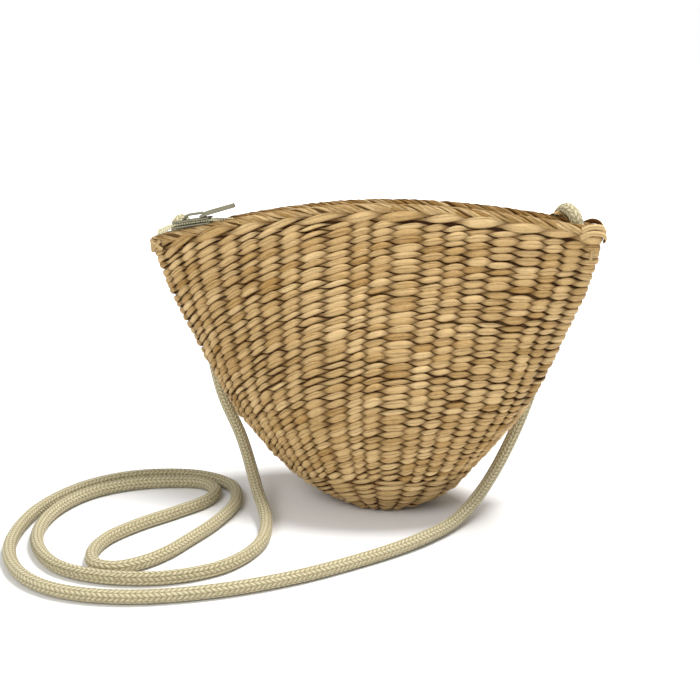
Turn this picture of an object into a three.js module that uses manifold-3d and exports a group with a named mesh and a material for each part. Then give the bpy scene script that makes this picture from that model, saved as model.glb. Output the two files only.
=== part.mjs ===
// A half-moon basket bag of twined straw, pinched to a narrow zipped mouth and
// worn on a long braided cord that goes back into the bag at both corners.
// Millimetres, +Z up. The origin is on the floor, midway between the corners.
import * as THREE from "three";
import { mergeVertices } from "three/addons/utils/BufferGeometryUtils.js";
import Module from "manifold-3d";

const wasm = await Module();
wasm.setup();

// Driving dimensions of the basket
const BAG_LENGTH = 262; // corner to corner of the mouth
const BAG_HEIGHT = 174; // floor to the top of the rim at the middle of the mouth
const BAG_DEPTH = 102; // front to back where the bowl is fullest
const MOUTH_DEPTH = 21; // outside to outside across the middle of the mouth
const RIM_DROP = 17.5; // how far the corners lie below the middle of the rim
const WALL = 2.5; // one layer of twined straw
const LEAN = THREE.MathUtils.degToRad(3.7); // the bag leans towards its -X corner
const LEAN_START = 25; // height over which the flat base turns into the leaning bowl
const BASE_TOP = 62; // height at which the basket's base ends and its front and back begin

// Driving dimensions of the plaited border
const BORDER_HEIGHT = 4.6;
const BORDER_CHAMFER = 0.9;
const BORDER_PROUD = 0.3; // how far the border stands out of the wall on each side
const GAP = 0.3; // clearance between pieces that touch

// Driving dimensions of the zip
const CHAIN_WIDTH = 4;
const CHAIN_THICK = 1.4;
const TAPE_THICK = 1;
const CHAIN_FROM_LEFT = 6.5; // from the left corner to the chain's end
const CHAIN_FROM_RIGHT = 22; // from the right corner to the chain's other end
const FRONT_TAPE_FROM_LEFT = 9;
const BACK_TAPE_FROM_LEFT = 25; // the back tape stops short of the cord
const CHAIN_SINK = 3; // how far the closed chain lies below the rim
const CHAIN_RISE = 2.2; // how far its open end stands above the rim, under the slider
const CHAIN_SIDE = 6.5; // how far that end is pushed over the front border
const TAPE_SEAM = 7; // depth of the tape's seam below the rim

// Driving dimensions of the slider and its pull
const SLIDER_FROM_LEFT = 29.5; // from the left corner to the slider's middle
const SLIDER_LENGTH = 24;
const SLIDER_WIDTH = 8;
const PLATE = 0.8;
const BRIDGE_WIDTH = 2;
const BRIDGE_THICK = 1.2;
const BRIDGE_LENGTH = 15;
const BRIDGE_CORNER = 1.6; // radius of the bridge's bends, at the middle of its strip
const BRIDGE_SHIFT = 1; // how far the bridge sits towards the slider's tail
const WALL_LENGTH = 14.4; // the slider's wall behind the chain
const PULL_LENGTH = 21;
const PULL_WIDTH = 7;
const PULL_THICK = 1.3; // its bar and arms
const BLADE_THICK = 2.5; // its plate beyond the eye, thicker on the side away from the slider
const PULL_LIFT = 0.5; // clearance of the pull's bar over the slider
const ARM_GAP = 0.35; // clearance of the pull's arms beside the bridge
const PANEL_DEPTH = 0.25; // the sunk panel in the pull's upper face
const PANEL_NEAR = 1.25; // from the eye to the panel
const PANEL_FAR = 3.75; // from the panel to the pull's round end
const PULL_ANGLE = THREE.MathUtils.degToRad(7); // pull above the slider's plate at rest
const PULL_REACH = BRIDGE_CORNER + BRIDGE_THICK / 2 + 0.8; // hinge line to the end of the pull's eye

// Driving dimensions of the strap
const CORD_DIAMETER = 7;
const CORD_SIDES = 10;
const CORD_STEPS = 84;
const KNOT_RADIUS = 4.6;

// The two knots: how far each lies in from its corner of the mouth, behind the zip, and below it
const KNOTS = [
  { name: "strap_knot_left", side: -1, inset: 18.27, back: 0.2, sink: 15.33 },
  { name: "strap_knot_right", side: 1, inset: 16.99, back: 0.2, sink: 18.97 },
];

// Fineness of the faceted surfaces
const AROUND = 72;
const LEVELS = 20;
const CURVE_STEPS = 5;

const HALF_LENGTH = BAG_LENGTH / 2;
const ZIP_LEFT = CHAIN_FROM_LEFT - HALF_LENGTH;
const ZIP_RIGHT = HALF_LENGTH - CHAIN_FROM_RIGHT;
const FRONT_TAPE_LEFT = FRONT_TAPE_FROM_LEFT - HALF_LENGTH;
const BACK_TAPE_LEFT = BACK_TAPE_FROM_LEFT - HALF_LENGTH;
const SLIDER_X = SLIDER_FROM_LEFT - HALF_LENGTH;
const HALF_DEPTH = BAG_DEPTH / 2;
const HALF_MOUTH = MOUTH_DEPTH / 2;
const CORNER_HEIGHT = BAG_HEIGHT - RIM_DROP;
const BASE_X = CORNER_HEIGHT * Math.sin(LEAN); // brings the leaning mouth over the origin

// One row for each ring of the weave, at a share of the way up the stakes.
// middle: height at the front's middle, share of BAG_HEIGHT
// drop: how far the ring's ends lie below that, share of RIM_DROP
// length: half-length, share of HALF_LENGTH
// depth and mouth: half-depth, shares of HALF_DEPTH and HALF_MOUTH, added up
// round: 1 spaces the stakes as on a circle, 0 evenly along the length
// blunt: exponent of the ring's outline, 2 for an ellipse
const RINGS = [
  { along: 0.0, middle: 0.0, drop: 0.0, length: 0.0, depth: 0.0, mouth: 0.0, round: 1.0, blunt: 2.0 },
  { along: 0.09, middle: 0.0, drop: 0.0, length: 0.15, depth: 0.37, mouth: 0.0, round: 1.0, blunt: 2.0 },
  { along: 0.15, middle: 0.042, drop: 0.17, length: 0.25, depth: 0.58, mouth: 0.0, round: 1.0, blunt: 2.0 },
  { along: 0.2, middle: 0.092, drop: 0.34, length: 0.327, depth: 0.73, mouth: 0.0, round: 1.0, blunt: 2.0 },
  { along: 0.3, middle: 0.204, drop: 0.58, length: 0.449, depth: 0.92, mouth: 0.0, round: 0.95, blunt: 2.0 },
  { along: 0.4, middle: 0.322, drop: 0.82, length: 0.563, depth: 1.0, mouth: 0.0, round: 0.88, blunt: 2.0 },
  { along: 0.5, middle: 0.441, drop: 1.03, length: 0.671, depth: 0.94, mouth: 0.05, round: 0.8, blunt: 2.05 },
  { along: 0.6, middle: 0.556, drop: 1.08, length: 0.754, depth: 0.8, mouth: 0.12, round: 0.7, blunt: 2.1 },
  { along: 0.7, middle: 0.669, drop: 1.07, length: 0.828, depth: 0.63, mouth: 0.22, round: 0.6, blunt: 2.2 },
  { along: 0.8, middle: 0.779, drop: 1.06, length: 0.903, depth: 0.44, mouth: 0.37, round: 0.5, blunt: 2.5 },
  { along: 0.9, middle: 0.889, drop: 1.03, length: 0.961, depth: 0.22, mouth: 0.63, round: 0.38, blunt: 3.2 },
  { along: 1.0, middle: 1.0, drop: 1.0, length: 1.0, depth: 0.0, mouth: 1.0, round: 0.28, blunt: 6.0 },
];

// The zip along the mouth, at shares of HALF_LENGTH.
// side: towards the front, share of CHAIN_SIDE
// lift: CHAIN_SINK below the rim at 0, CHAIN_RISE above it at 1, and evenly on from there
const ZIP_PATH = [
  { share: -1.0, side: 0.6, lift: 0.98 },
  { share: -0.93, side: 0.85, lift: 1.16 },
  { share: -0.87, side: 1.0, lift: 1.36 },
  { share: -0.78, side: 1.0, lift: 1.18 },
  { share: -0.67, side: 1.0, lift: 0.94 },
  { share: -0.61, side: 0.7, lift: 0.58 },
  { share: -0.53, side: 0.25, lift: 0.16 },
  { share: -0.45, side: 0.0, lift: 0.0 },
  { share: 1.0, side: 0.0, lift: 0.0 },
];

// The strap's route as it lies, from inside the left corner round to inside the right one
const CORD_ROUTE = [
  [-111.5, 0.2, 138.5], [-115, 1.9, 155.2], [-114.6, 6.8, 157.8], [-113.6, 11.8, 155.4],
  [-109, 15.6, 128], [-94.5, 12.5, 56], [-75, -5, 31],
  [-55, -36, 12], [-40, -64, 5.4], [-34.5, -92, 3.7], [-43, -123, 3.7], [-66, -143, 3.7],
  [-97, -150.5, 3.7], [-124, -145, 3.7], [-146, -125, 3.7], [-158, -99, 3.7], [-160.5, -70, 3.7],
  [-153, -45, 3.7], [-137, -27.5, 3.7], [-115, -17, 3.7], [-97, -14.5, 3.7], [-85.5, -23, 3.7],
  [-84, -39, 3.7], [-94.5, -61.5, 3.7], [-107.5, -84, 3.7], [-115.5, -106, 3.7], [-114.5, -125, 3.7],
  [-106.5, -138, 3.7], [-95.5, -139, 3.7], [-84.5, -129, 3.7], [-77.5, -115, 3.7], [-72.5, -95, 3.7],
  [-67.5, -69, 3.7], [-67.5, -38, 3.7], [-79, -14, 3.7], [-101, -4, 3.7], [-122, -6, 3.7],
  [-145, -17.5, 3.7], [-163, -41, 3.7], [-171, -78, 3.7], [-163.5, -121, 3.7], [-149, -147, 3.7],
  [-130, -163.5, 3.7], [-107.5, -171, 3.7], [-76, -168.5, 3.7], [-43, -154.5, 3.7], [-10, -131, 3.7],
  [18, -102, 3.7], [46, -65, 4.4], [62, -31, 6.5],
  [77, 10, 26], [94, 27.5, 76], [102.2, 17.6, 148], [104.4, 13.9, 167.5],
  [108.6, 8.2, 173], [113.4, 2.6, 171.6], [116.4, 0.5, 164], [115, 0.2, 149.5],
];

// Materials
const STRAW = { color: 0xc9a468, roughness: 0.75, metalness: 0 };
const DARK_STRAW = { color: 0xb8904f, roughness: 0.75, metalness: 0 };
const TAPE_CLOTH = { color: 0xc6bd96, roughness: 0.9, metalness: 0 };
const NYLON = { color: 0xb9b389, roughness: 0.5, metalness: 0 };
const METAL = { color: 0x8f8f80, roughness: 0.4, metalness: 0.9 };
const COTTON = { color: 0xd0c49a, roughness: 0.95, metalness: 0 };

// The value of one column of a table at a place between its rows, as a smooth curve
function between(table, key, column, place) {
  let i = 0;
  while (i < table.length - 2 && place > table[i + 1][key]) i += 1;
  const slope = (a, b) => (table[b][column] - table[a][column]) / (table[b][key] - table[a][key]);
  const last = table.length - 1;
  const tangent = (n) => {
    if (n === 0) return slope(0, 1);
    if (n === last) return slope(last - 1, last);
    const before = slope(n - 1, n);
    const after = slope(n, n + 1);
    return before * after <= 0 ? 0 : (2 * before * after) / (before + after);
  };
  const span = table[i + 1][key] - table[i][key];
  const t = THREE.MathUtils.clamp((place - table[i][key]) / span, 0, 1);
  const rise = t * t * (3 - 2 * t);
  const bow = t * (1 - t) * (1 - t) * tangent(i) - t * t * (1 - t) * tangent(i + 1);
  return table[i][column] * (1 - rise) + table[i + 1][column] * rise + bow * span;
}

// Height of the mouth's rim at a place x along it, and the outer half-depth some way below the rim
function rimHeight(x) {
  return BAG_HEIGHT - RIM_DROP * Math.pow(Math.abs(x / HALF_LENGTH), 1.8);
}

function halfDepthAt(x, below) {
  const climb = (BAG_HEIGHT * (1 - between(RINGS, "along", "middle", 0.96))) / 0.04;
  const ring = (column) => between(RINGS, "along", column, 1 - below / climb);
  const share = Math.min(Math.abs(x) / (HALF_LENGTH * ring("length")), 1);
  const halfDepth = HALF_DEPTH * ring("depth") + HALF_MOUTH * ring("mouth");
  return halfDepth * Math.sqrt(1 - Math.pow(share, ring("blunt")));
}

// A point of the unleaned basket: turn goes once round from the +X end by the back,
// along goes from the middle of the base to the rim
function basketPoint(turn, along) {
  const ring = (column) => between(RINGS, "along", column, along);
  const halfLength = HALF_LENGTH * ring("length");
  const halfDepth = HALF_DEPTH * ring("depth") + HALF_MOUTH * ring("mouth");
  const side = turn < 0.5 ? 1 : -1;
  const across = turn < 0.5 ? 1 - 4 * turn : 4 * turn - 3;
  const bend = (Math.PI / 2) * ring("round");
  const share = Math.sin(across * bend) / Math.sin(bend);
  const depth = Math.sqrt(Math.max(0, 1 - Math.pow(Math.abs(share), ring("blunt"))));
  const height = BAG_HEIGHT * ring("middle") - RIM_DROP * ring("drop") * Math.pow(Math.abs(share), 1.8);
  return new THREE.Vector3(halfLength * share, side * halfDepth * depth, height);
}

// The same point where it really stands: leaning above, flat on the floor below
function lean(point) {
  const hold = THREE.MathUtils.smoothstep(point.z, 0, LEAN_START);
  return new THREE.Vector3(
    BASE_X + point.x * Math.cos(LEAN) - point.z * Math.sin(LEAN),
    point.y,
    point.z * Math.cos(LEAN) + point.x * Math.sin(LEAN) * hold,
  );
}

// Outward direction of the standing basket, found from neighbouring points
function outward(turn, along) {
  const step = 0.004;
  const wrap = (value) => (value + 1) % 1;
  const low = Math.max(along, 2 * step);
  const high = Math.min(low + step, 1);
  const round = lean(basketPoint(wrap(turn + step), low)).sub(lean(basketPoint(wrap(turn - step), low)));
  const up = lean(basketPoint(turn, high)).sub(lean(basketPoint(turn, high - 2 * step)));
  return new THREE.Vector3().crossVectors(round, up).normalize();
}

// How far up its stake the wall ends, just under the border
function wallTop(turn) {
  const step = 0.04;
  const climb = (basketPoint(turn, 1).z - basketPoint(turn, 1 - step).z) / step;
  return 1 - (BORDER_HEIGHT + 1.4 * GAP) / climb;
}

// A closed body from rings of points; the first and last ring are capped or joined up
function loft(rings, { joined = false } = {}) {
  const count = rings[0].length;
  const positions = rings.flat().flatMap((point) => [point.x, point.y, point.z]);
  const index = [];
  const bands = joined ? rings.length : rings.length - 1;
  for (let i = 0; i < bands; i += 1) {
    const next = (i + 1) % rings.length;
    for (let j = 0; j < count; j += 1) {
      const a = i * count + j;
      const b = i * count + ((j + 1) % count);
      const c = next * count + ((j + 1) % count);
      const d = next * count + j;
      index.push(a, b, c, a, c, d);
    }
  }
  if (!joined) {
    for (let j = 1; j < count - 1; j += 1) {
      const end = (rings.length - 1) * count;
      index.push(0, j + 1, j, end, end + j, end + j + 1);
    }
  }
  const geometry = new THREE.BufferGeometry();
  geometry.setAttribute("position", new THREE.Float32BufferAttribute(positions, 3));
  geometry.setIndex(index);
  return facingOut(withoutSlivers(mergeVertices(geometry, 1e-4)));
}

// Drops the triangles that merged points have closed up
function withoutSlivers(geometry) {
  const kept = [];
  const index = geometry.index.array;
  for (let i = 0; i < index.length; i += 3) {
    const [a, b, c] = [index[i], index[i + 1], index[i + 2]];
    if (a !== b && b !== c && c !== a) kept.push(a, b, c);
  }
  geometry.setIndex(kept);
  return geometry;
}

// Turns a body's faces outward if they point in
function facingOut(geometry) {
  const position = geometry.attributes.position;
  const index = geometry.index.array;
  const corner = (n) => new THREE.Vector3().fromBufferAttribute(position, n);
  let volume = 0;
  for (let i = 0; i < index.length; i += 3) {
    volume += corner(index[i]).dot(corner(index[i + 1]).cross(corner(index[i + 2])));
  }
  if (volume < 0) {
    for (let i = 0; i < index.length; i += 3) {
      [index[i + 1], index[i + 2]] = [index[i + 2], index[i + 1]];
    }
  }
  return geometry;
}

// Solids for the boolean joins and cuts, and back
function solid(geometry) {
  const bare = geometry.clone();
  bare.deleteAttribute("normal");
  bare.deleteAttribute("uv");
  const merged = mergeVertices(bare, 1e-4);
  return new wasm.Manifold(
    new wasm.Mesh({
      numProp: 3,
      vertProperties: new Float32Array(merged.attributes.position.array),
      triVerts: new Uint32Array(merged.index.array),
    }),
  );
}

function fromSolid(body) {
  const mesh = body.getMesh();
  const geometry = new THREE.BufferGeometry();
  geometry.setAttribute("position", new THREE.BufferAttribute(mesh.vertProperties, 3));
  geometry.setIndex(new THREE.BufferAttribute(mesh.triVerts, 1));
  return geometry;
}

function named(name, geometry, finish) {
  const mesh = new THREE.Mesh(geometry, new THREE.MeshStandardMaterial(finish));
  mesh.name = name;
  return mesh;
}

// The basket's wall: outer skin up to the rim, over it, and the inner skin down again
function basketWall() {
  const profile = [];
  for (let level = 0; level <= LEVELS; level += 1) profile.push({ level, inset: 0 });
  for (let level = LEVELS; level >= 0; level -= 1) profile.push({ level, inset: WALL });
  const rings = profile.map(({ level, inset }) => {
    const ring = [];
    for (let i = 0; i < AROUND; i += 1) {
      const turn = i / AROUND;
      const along = wallTop(turn) * Math.pow(level / LEVELS, 0.9);
      const normal = along === 0 ? new THREE.Vector3(0, 0, -1) : outward(turn, along);
      ring.push(lean(basketPoint(turn, along)).addScaledVector(normal, -inset));
    }
    return ring;
  });
  return loft(rings);
}

// The wall as three pieces a hair apart, so that what is kept in the basket has its room:
// the base, and the front and the back above it
function basketPieces() {
  const wall = solid(basketWall());
  const base = wall.trimByPlane([0, 0, -1], GAP / 2 - BASE_TOP);
  const upper = wall.trimByPlane([0, 0, 1], GAP / 2 + BASE_TOP);
  const front = upper.trimByPlane([0, -1, 0], GAP / 2);
  const back = upper.trimByPlane([0, 1, 0], GAP / 2);
  return [
    named("basket_base", fromSolid(base), STRAW),
    named("basket_front", fromSolid(front), STRAW),
    named("basket_back", fromSolid(back), STRAW),
  ];
}

// The plaited border: an eight-sided band that follows the rim over the wall's middle
function rimBorder() {
  const halfWidth = WALL / 2 + BORDER_PROUD;
  const chamfer = BORDER_CHAMFER;
  const section = [
    [halfWidth, -BORDER_HEIGHT + chamfer], [halfWidth, -chamfer],
    [halfWidth - chamfer, 0], [chamfer - halfWidth, 0],
    [-halfWidth, -chamfer], [-halfWidth, -BORDER_HEIGHT + chamfer],
    [chamfer - halfWidth, -BORDER_HEIGHT], [halfWidth - chamfer, -BORDER_HEIGHT],
  ];
  const rings = [];
  for (let i = 0; i < AROUND; i += 1) {
    const turn = i / AROUND;
    const top = basketPoint(turn, 1);
    const ahead = basketPoint((turn + 0.002) % 1, 1);
    const behind = basketPoint((turn + 0.998) % 1, 1);
    const out = new THREE.Vector3(ahead.y - behind.y, behind.x - ahead.x, 0).normalize();
    if (out.dot(new THREE.Vector3(top.x, top.y, 0)) < 0) out.negate();
    rings.push(section.map(([side, rise]) => {
      const point = top.clone().addScaledVector(out, side - WALL / 2);
      point.z += rise;
      return point;
    }));
  }
  return named("rim_border", loft(rings, { joined: true }), DARK_STRAW);
}

// The middle of the zip's chain at a place x along the mouth
function chainPoint(x) {
  const share = x / HALF_LENGTH;
  const side = between(ZIP_PATH, "share", "side", share);
  const lift = between(ZIP_PATH, "share", "lift", share);
  const height = rimHeight(x) - CHAIN_SINK + lift * (CHAIN_SINK + CHAIN_RISE);
  return new THREE.Vector3(x, -CHAIN_SIDE * side, height);
}

// Places along the mouth, evenly spaced
function placesAlong(from, to, steps) {
  return Array.from({ length: steps + 1 }, (_, i) => from + (to - from) * (i / steps));
}

function zipChain() {
  const rings = placesAlong(ZIP_LEFT, ZIP_RIGHT, 60).map((x) => {
    const middle = chainPoint(x);
    return [[-1, -1], [1, -1], [1, 1], [-1, 1]].map(([side, up]) => new THREE.Vector3(
      x, middle.y + (side * CHAIN_WIDTH) / 2, middle.z + (up * CHAIN_THICK) / 2,
    ));
  });
  return named("zip_chain", loft(rings), NYLON);
}

// A tape from under the chain to its seam inside the wall; sign is -1 for the front
function zipTape(name, sign, left) {
  const rings = placesAlong(left, ZIP_RIGHT, 40).map((x) => {
    const middle = chainPoint(x);
    const lift = Math.min(between(ZIP_PATH, "share", "lift", x / HALF_LENGTH), 1);
    const rimFace = halfDepthAt(x, 0) - WALL - BORDER_PROUD - 2 * GAP - TAPE_THICK / 2;
    const seamFace = halfDepthAt(x, TAPE_SEAM) - 1.08 * WALL - GAP - TAPE_THICK / 2;
    const raisedEdge = sign < 0 ? -rimFace : -rimFace + TAPE_THICK + GAP;
    const flatEdge = sign * (GAP + TAPE_THICK);
    const under = CHAIN_THICK / 2 + GAP + TAPE_THICK / 2 + lift * (PLATE + GAP);
    const inner = new THREE.Vector3(x, THREE.MathUtils.lerp(flatEdge, raisedEdge, lift), middle.z - under);
    const seamSide = sign * THREE.MathUtils.lerp(seamFace, rimFace, lift);
    const seam = new THREE.Vector3(x, seamSide, rimHeight(x) - TAPE_SEAM);
    const along = seam.clone().sub(inner).normalize();
    const thick = new THREE.Vector3(0, -along.z, along.y).multiplyScalar(TAPE_THICK / 2);
    return [
      inner.clone().add(thick), seam.clone().add(thick), seam.clone().sub(thick), inner.clone().sub(thick),
    ];
  });
  return named(name, loft(rings), TAPE_CLOTH);
}

// The slider's own frame: X along the chain, Z off its upper plate
function sliderFrame() {
  const frame = new THREE.Group();
  const reach = SLIDER_LENGTH / 2;
  const rise = chainPoint(SLIDER_X + reach).z - chainPoint(SLIDER_X - reach).z;
  frame.position.copy(chainPoint(SLIDER_X));
  frame.rotation.y = -Math.atan2(rise, SLIDER_LENGTH);
  return frame;
}

// A flat plate with an outline drawn in plan, its underside at the given height
function plate(outline, underside, thickness) {
  const drawing = { depth: thickness, bevelEnabled: false, curveSegments: CURVE_STEPS };
  const geometry = new THREE.ExtrudeGeometry(outline, drawing);
  geometry.translate(0, 0, underside);
  return geometry;
}

// The slider's plates: a square tail, shoulders, and a nose that narrows to the left
function sliderOutline() {
  const end = SLIDER_LENGTH / 2;
  const half = SLIDER_WIDTH / 2;
  const outline = new THREE.Shape();
  outline.moveTo(end, -half);
  outline.lineTo(end, half);
  outline.lineTo(-end * 0.35, half);
  outline.quadraticCurveTo(-end * 0.8, half, -end, half * 0.45);
  outline.lineTo(-end, -half * 0.45);
  outline.quadraticCurveTo(-end * 0.8, -half, -end * 0.35, -half);
  outline.closePath();
  return outline;
}

// Height of the slider's upper face, and of the line that the pull turns on
const UPPER_FACE = CHAIN_THICK / 2 + GAP + PLATE;
const HINGE_X = BRIDGE_LENGTH / 2 - BRIDGE_CORNER + BRIDGE_SHIFT;
const HINGE_Z = UPPER_FACE + PULL_THICK / 2 + PULL_LIFT;

// The slider: two plates joined by a wall behind the chain, with an arched bridge on top
function zipSlider() {
  const channel = CHAIN_THICK / 2 + GAP;
  const lower = plate(sliderOutline(), -channel - PLATE, PLATE);
  const upper = plate(sliderOutline(), channel, PLATE);
  const wallThick = SLIDER_WIDTH / 2 - CHAIN_WIDTH / 2 - GAP;
  const wall = new THREE.BoxGeometry(WALL_LENGTH, wallThick, 2 * channel + PLATE);
  wall.translate(SLIDER_LENGTH * 0.15, SLIDER_WIDTH / 2 - wallThick / 2, 0);
  const top = HINGE_Z + BRIDGE_CORNER + BRIDGE_THICK / 2;
  const right = HINGE_X + BRIDGE_CORNER + BRIDGE_THICK / 2;
  const left = right - BRIDGE_LENGTH;
  const bridge = new THREE.Shape();
  const outer = BRIDGE_CORNER + BRIDGE_THICK / 2;
  const inner = BRIDGE_CORNER - BRIDGE_THICK / 2;
  const foot = UPPER_FACE - PLATE / 2;
  bridge.moveTo(right, foot);
  bridge.lineTo(right, top - outer);
  bridge.absarc(right - outer, top - outer, outer, 0, Math.PI / 2, false);
  bridge.lineTo(left + 2 * outer, top);
  bridge.quadraticCurveTo(left + outer * 0.6, top, left, foot);
  bridge.lineTo(left + 1.6 * BRIDGE_THICK, foot);
  bridge.quadraticCurveTo(left + outer, top - BRIDGE_THICK, left + 2 * outer, top - BRIDGE_THICK);
  bridge.lineTo(right - outer, top - BRIDGE_THICK);
  bridge.absarc(right - outer, top - outer, inner, Math.PI / 2, 0, true);
  bridge.lineTo(right - BRIDGE_THICK, foot);
  bridge.closePath();
  const drawing = { depth: BRIDGE_WIDTH, bevelEnabled: false, curveSegments: CURVE_STEPS };
  const strip = new THREE.ExtrudeGeometry(bridge, drawing);
  strip.rotateX(Math.PI / 2);
  strip.translate(0, BRIDGE_WIDTH / 2, 0);
  const body = [lower, upper, wall, strip].map(solid).reduce((sum, piece) => sum.add(piece));
  return named("zip_slider", fromSolid(body), METAL);
}

// The pull: a bar under the bridge, two arms beside it and a long plate with a round end
function zipPull() {
  const armGap = BRIDGE_WIDTH / 2 + ARM_GAP;
  const half = PULL_WIDTH / 2;
  const barRadius = PULL_THICK / 2;
  const bar = new THREE.CylinderGeometry(barRadius, barRadius, 2 * half, 10);
  const outline = new THREE.Shape();
  outline.moveTo(0, -half);
  outline.lineTo(PULL_LENGTH - half, -half * 0.8);
  outline.absarc(PULL_LENGTH - half, 0, half * 0.8, -Math.PI / 2, Math.PI / 2, false);
  outline.lineTo(0, half);
  outline.closePath();
  const eye = new THREE.Path();
  eye.moveTo(barRadius * 0.6, -armGap);
  eye.lineTo(barRadius * 0.6, armGap);
  eye.lineTo(PULL_REACH, armGap);
  eye.lineTo(PULL_REACH, -armGap);
  eye.closePath();
  outline.holes.push(eye);
  const lower = plate(outline, -PULL_THICK / 2, PULL_THICK);
  const thicker = new THREE.Shape();
  thicker.moveTo(PULL_REACH, -half * 0.9);
  thicker.lineTo(PULL_LENGTH - half, -half * 0.8);
  thicker.absarc(PULL_LENGTH - half, 0, half * 0.8, -Math.PI / 2, Math.PI / 2, false);
  thicker.lineTo(PULL_REACH, half * 0.9);
  thicker.closePath();
  const upper = plate(thicker, 0, BLADE_THICK - PULL_THICK / 2);
  const panelLength = PULL_LENGTH - PULL_REACH - PANEL_NEAR - PANEL_FAR;
  const panel = new THREE.BoxGeometry(panelLength, PULL_WIDTH * 0.5, 2 * PANEL_DEPTH);
  panel.translate(PULL_REACH + PANEL_NEAR + panelLength / 2, 0, BLADE_THICK - PULL_THICK / 2);
  const body = solid(bar).add(solid(lower)).add(solid(upper)).subtract(solid(panel));
  const mesh = named("zip_pull", fromSolid(body), METAL);
  mesh.position.set(HINGE_X, 0, HINGE_Z);
  mesh.rotation.y = -PULL_ANGLE;
  return mesh;
}

// The chosen route, with its steps shared out by the chosen points and not by length
class StrapRoute extends THREE.CatmullRomCurve3 {
  getUtoTmapping(share) {
    return share;
  }
}

function strapCord() {
  const route = new StrapRoute(CORD_ROUTE.map((point) => new THREE.Vector3(...point)), false, "centripetal");
  const section = new THREE.Shape();
  section.absarc(0, 0, CORD_DIAMETER / 2, 0, 2 * Math.PI, false);
  const geometry = new THREE.ExtrudeGeometry(section, {
    steps: CORD_STEPS, curveSegments: CORD_SIDES / 2, extrudePath: route, bevelEnabled: false,
  });
  return named("strap_cord", geometry, COTTON);
}

// A stopper knot inside a corner of the mouth, just under the cord's end
function strapKnot({ name, side, inset, back, sink }) {
  const geometry = new THREE.SphereGeometry(KNOT_RADIUS, 12, 8);
  geometry.rotateX(Math.PI / 2);
  geometry.translate(side * (HALF_LENGTH - inset), back, CORNER_HEIGHT - sink);
  return named(name, geometry, COTTON);
}

// Everything that leans with the mouth is placed in the unleaned frame and turned as one
const mouth = new THREE.Group();
mouth.position.x = BASE_X;
mouth.rotation.y = -LEAN;
mouth.add(rimBorder(), zipChain());
mouth.add(zipTape("zip_tape_front", -1, FRONT_TAPE_LEFT));
mouth.add(zipTape("zip_tape_back", 1, BACK_TAPE_LEFT));
mouth.add(...KNOTS.map(strapKnot));
const slider = sliderFrame();
slider.add(zipSlider(), zipPull());
mouth.add(slider);

const bag = new THREE.Group();
bag.add(...basketPieces(), mouth, strapCord());

export default bag;
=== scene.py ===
"""A half-moon basket bag of twined straw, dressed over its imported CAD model."""

import math

import bmesh
import bpy
import numpy as np
from bpy.props import FloatProperty, FloatVectorProperty, IntProperty, PointerProperty
from mathutils import Matrix, Vector


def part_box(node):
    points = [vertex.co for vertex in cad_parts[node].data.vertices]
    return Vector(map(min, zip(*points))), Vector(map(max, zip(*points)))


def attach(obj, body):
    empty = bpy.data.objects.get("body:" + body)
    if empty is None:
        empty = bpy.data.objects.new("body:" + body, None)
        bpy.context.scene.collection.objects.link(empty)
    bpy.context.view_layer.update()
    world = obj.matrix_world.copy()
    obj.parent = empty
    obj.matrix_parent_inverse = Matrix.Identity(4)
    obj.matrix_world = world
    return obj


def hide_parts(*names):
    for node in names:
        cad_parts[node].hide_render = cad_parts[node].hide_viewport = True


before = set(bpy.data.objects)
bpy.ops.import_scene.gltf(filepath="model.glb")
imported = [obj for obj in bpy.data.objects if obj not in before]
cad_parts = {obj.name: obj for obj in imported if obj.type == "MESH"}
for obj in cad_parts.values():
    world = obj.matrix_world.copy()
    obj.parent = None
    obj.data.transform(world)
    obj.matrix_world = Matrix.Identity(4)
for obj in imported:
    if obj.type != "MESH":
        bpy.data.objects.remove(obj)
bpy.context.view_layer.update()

bl_info = {
    "name": "Straw basket bag",
    "version": (1, 0, 0),
    "blender": (4, 5, 0),
    "location": "3D View > Sidebar > Basket bag",
    "description": "Weaves, binds and fits out a half-moon straw basket bag over its CAD model",
    "category": "Object",
}

# The basket's form, in metres, as in the CAD model
MM = 0.001
BAG_LENGTH = 262 * MM
BAG_HEIGHT = 174 * MM
BAG_DEPTH = 102 * MM
MOUTH_DEPTH = 21 * MM
RIM_DROP = 17.5 * MM
WALL = 2.5 * MM
LEAN = math.radians(3.7)
LEAN_START = 25 * MM
BORDER_HEIGHT = 4.6 * MM
BORDER_PROUD = 0.3 * MM
GAP = 0.3 * MM

HALF_LENGTH = BAG_LENGTH / 2
HALF_DEPTH = BAG_DEPTH / 2
HALF_MOUTH = MOUTH_DEPTH / 2
CORNER_HEIGHT = BAG_HEIGHT - RIM_DROP
BASE_X = CORNER_HEIGHT * math.sin(LEAN)

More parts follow.
